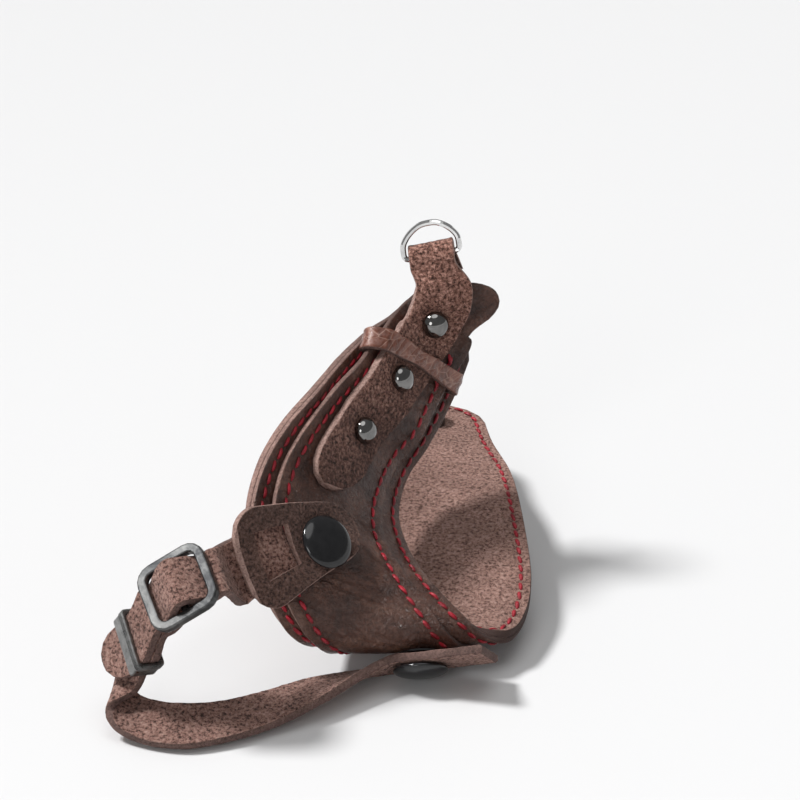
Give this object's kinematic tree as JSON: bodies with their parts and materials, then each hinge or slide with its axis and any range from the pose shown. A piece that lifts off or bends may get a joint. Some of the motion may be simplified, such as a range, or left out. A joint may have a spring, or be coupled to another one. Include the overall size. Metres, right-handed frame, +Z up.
{
  "type": "camera wrist strap",
  "caption": "Leather camera wrist strap: a curved padded band for the back of the hand, a slim wrist loop with a slide buckle and snaps, and a screw for the camera base.",
  "frame": {"origin": "on the suede upper face of the pad's base end, where the camera's base rests, 13 mm in front of the camera screw", "axes": "+Z up, out of the camera's base; +Y from the grip side towards the middle of the camera's base; +X towards the lens side"},
  "size_m": [0.1024, 0.1454, 0.0907],
  "materials": {
    "brown_grain_leather": "smooth grain, semi-matte",
    "brown_suede": "napped suede",
    "pink_brown_suede": "napped suede",
    "red_brown_leather": "glossy, creased",
    "bright_steel": "polished",
    "dark_chrome": "dark polished",
    "black_enamel": "gloss black",
    "worn_gunmetal": "worn satin",
    "brushed_nickel": "brushed"
  },
  "bodies": {
    "root": {"pad_outer": "brown_grain_leather", "pad_liner": "pink_brown_suede", "pad_overlay": "brown_grain_leather", "connecting_strap": "brown_suede", "stud_1": "dark_chrome", "stud_2": "dark_chrome", "stud_3": "dark_chrome", "strap_keeper": "red_brown_leather", "lug_ring": "bright_steel", "snap_tab": "brown_grain_leather", "wrist_strap_short": "brown_suede", "wrist_strap_long": "brown_suede", "snap_1_ring": "worn_gunmetal", "snap_1_cap": "black_enamel", "snap_2_ring": "worn_gunmetal", "snap_2_cap": "black_enamel", "buckle_frame": "worn_gunmetal", "metal_keeper": "brushed_nickel", "screw_washer": "brushed_nickel", "camera_screw": "brushed_nickel"}
  },
  "joints": []
}
